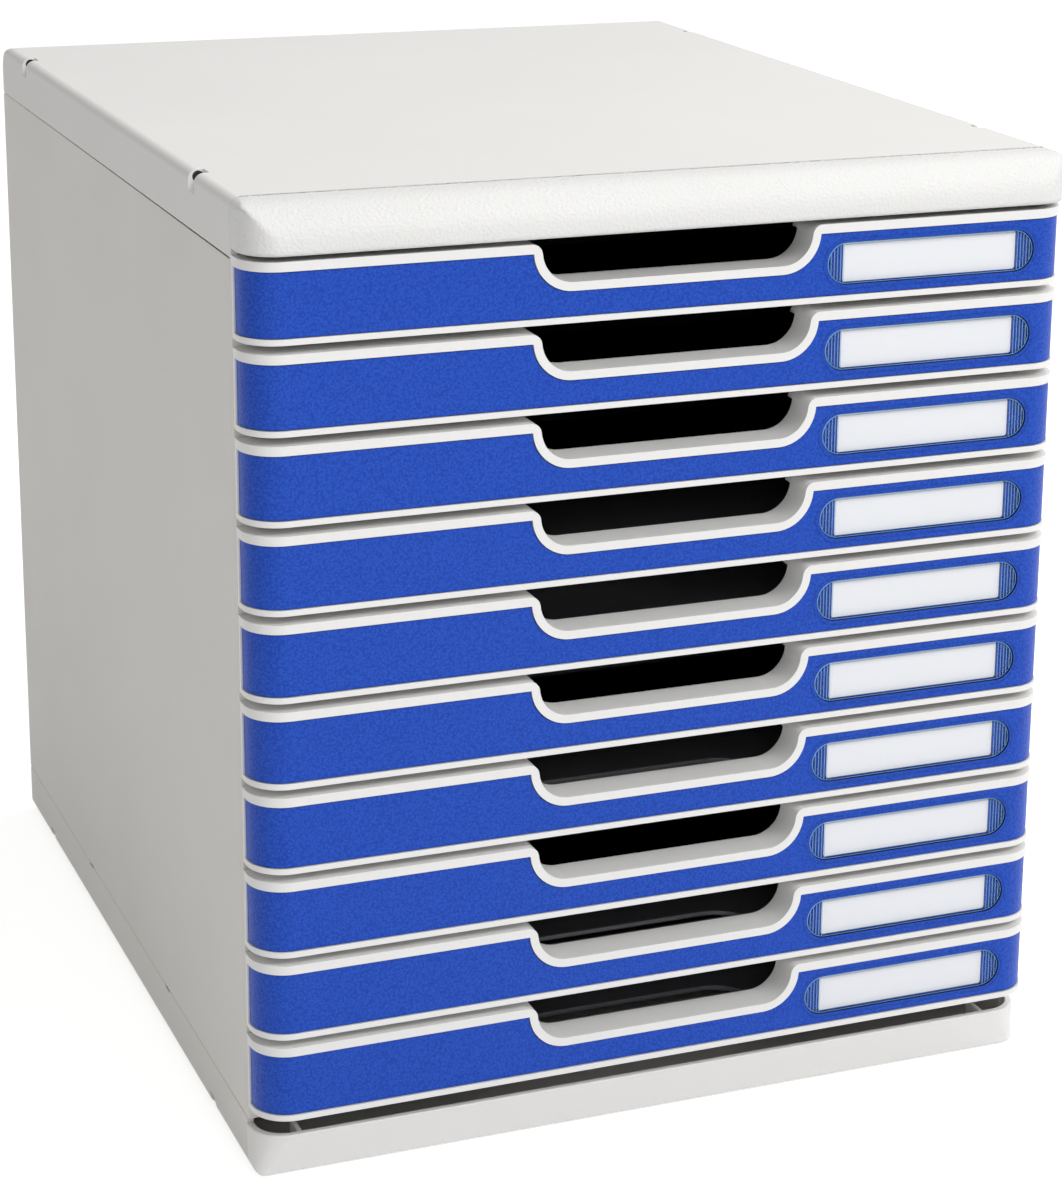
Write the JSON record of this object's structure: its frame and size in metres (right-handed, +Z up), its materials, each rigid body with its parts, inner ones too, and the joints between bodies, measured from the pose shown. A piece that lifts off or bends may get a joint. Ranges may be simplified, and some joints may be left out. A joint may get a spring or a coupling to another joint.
{
  "type": "desktop drawer unit",
  "caption": "Desktop drawer unit: a light grey plastic housing with shallow sliding drawers, blue bowed fronts, finger cut-outs and clear label windows.",
  "frame": {"origin": "under the middle of the unit, on the surface that it stands on", "axes": "+Z up, +X to the right when the drawers face the viewer, -Y out of the drawer fronts"},
  "size_m": [0.278, 0.35, 0.32],
  "materials": {
    "body_grey": "fine moulded texture",
    "tray_charcoal": "satin moulded",
    "plate_blue": "fine leather-like grain",
    "window_clear": "clear polished plastic",
    "card_paper": "smooth white card",
    "rubber": "matte rubber"
  },
  "bodies": {
    "housing": {"cover": "body_grey", "cover_nose": "body_grey", "base": "body_grey", "base_fascia": "body_grey", "side_left": "body_grey", "side_right": "body_grey", "back_panel": "body_grey", "feet": "rubber"},
    "drawer_01": {"tray_01": "tray_charcoal", "front_01": "body_grey", "plate_01": "plate_blue", "window_01": "window_clear", "card_01": "card_paper"},
    "drawer_02": {"tray_02": "tray_charcoal", "front_02": "body_grey", "plate_02": "plate_blue", "window_02": "window_clear", "card_02": "card_paper"},
    "drawer_03": {"tray_03": "tray_charcoal", "front_03": "body_grey", "plate_03": "plate_blue", "window_03": "window_clear", "card_03": "card_paper"},
    "drawer_04": {"tray_04": "tray_charcoal", "front_04": "body_grey", "plate_04": "plate_blue", "window_04": "window_clear", "card_04": "card_paper"},
    "drawer_05": {"tray_05": "tray_charcoal", "front_05": "body_grey", "plate_05": "plate_blue", "window_05": "window_clear", "card_05": "card_paper"},
    "drawer_06": {"tray_06": "tray_charcoal", "front_06": "body_grey", "plate_06": "plate_blue", "window_06": "window_clear", "card_06": "card_paper"},
    "drawer_07": {"tray_07": "tray_charcoal", "front_07": "body_grey", "plate_07": "plate_blue", "window_07": "window_clear", "card_07": "card_paper"},
    "drawer_08": {"tray_08": "tray_charcoal", "front_08": "body_grey", "plate_08": "plate_blue", "window_08": "window_clear", "card_08": "card_paper"},
    "drawer_09": {"tray_09": "tray_charcoal", "front_09": "body_grey", "plate_09": "plate_blue", "window_09": "window_clear", "card_09": "card_paper"},
    "drawer_10": {"tray_10": "tray_charcoal", "front_10": "body_grey", "plate_10": "plate_blue", "window_10": "window_clear", "card_10": "card_paper"}
  },
  "joints": [
    {"name": "drawer_01_slide", "type": "slide", "parent": "housing", "child": "drawer_01", "axis": [0, -1, 0], "range_m": [0, 0.26]},
    {"name": "drawer_02_slide", "type": "slide", "parent": "housing", "child": "drawer_02", "axis": [0, -1, 0], "range_m": [0, 0.26]},
    {"name": "drawer_03_slide", "type": "slide", "parent": "housing", "child": "drawer_03", "axis": [0, -1, 0], "range_m": [0, 0.26]},
    {"name": "drawer_04_slide", "type": "slide", "parent": "housing", "child": "drawer_04", "axis": [0, -1, 0], "range_m": [0, 0.26]},
    {"name": "drawer_05_slide", "type": "slide", "parent": "housing", "child": "drawer_05", "axis": [0, -1, 0], "range_m": [0, 0.26]},
    {"name": "drawer_06_slide", "type": "slide", "parent": "housing", "child": "drawer_06", "axis": [0, -1, 0], "range_m": [0, 0.26]},
    {"name": "drawer_07_slide", "type": "slide", "parent": "housing", "child": "drawer_07", "axis": [0, -1, 0], "range_m": [0, 0.26]},
    {"name": "drawer_08_slide", "type": "slide", "parent": "housing", "child": "drawer_08", "axis": [0, -1, 0], "range_m": [0, 0.26]},
    {"name": "drawer_09_slide", "type": "slide", "parent": "housing", "child": "drawer_09", "axis": [0, -1, 0], "range_m": [0, 0.26]},
    {"name": "drawer_10_slide", "type": "slide", "parent": "housing", "child": "drawer_10", "axis": [0, -1, 0], "range_m": [0, 0.26]}
  ]
}
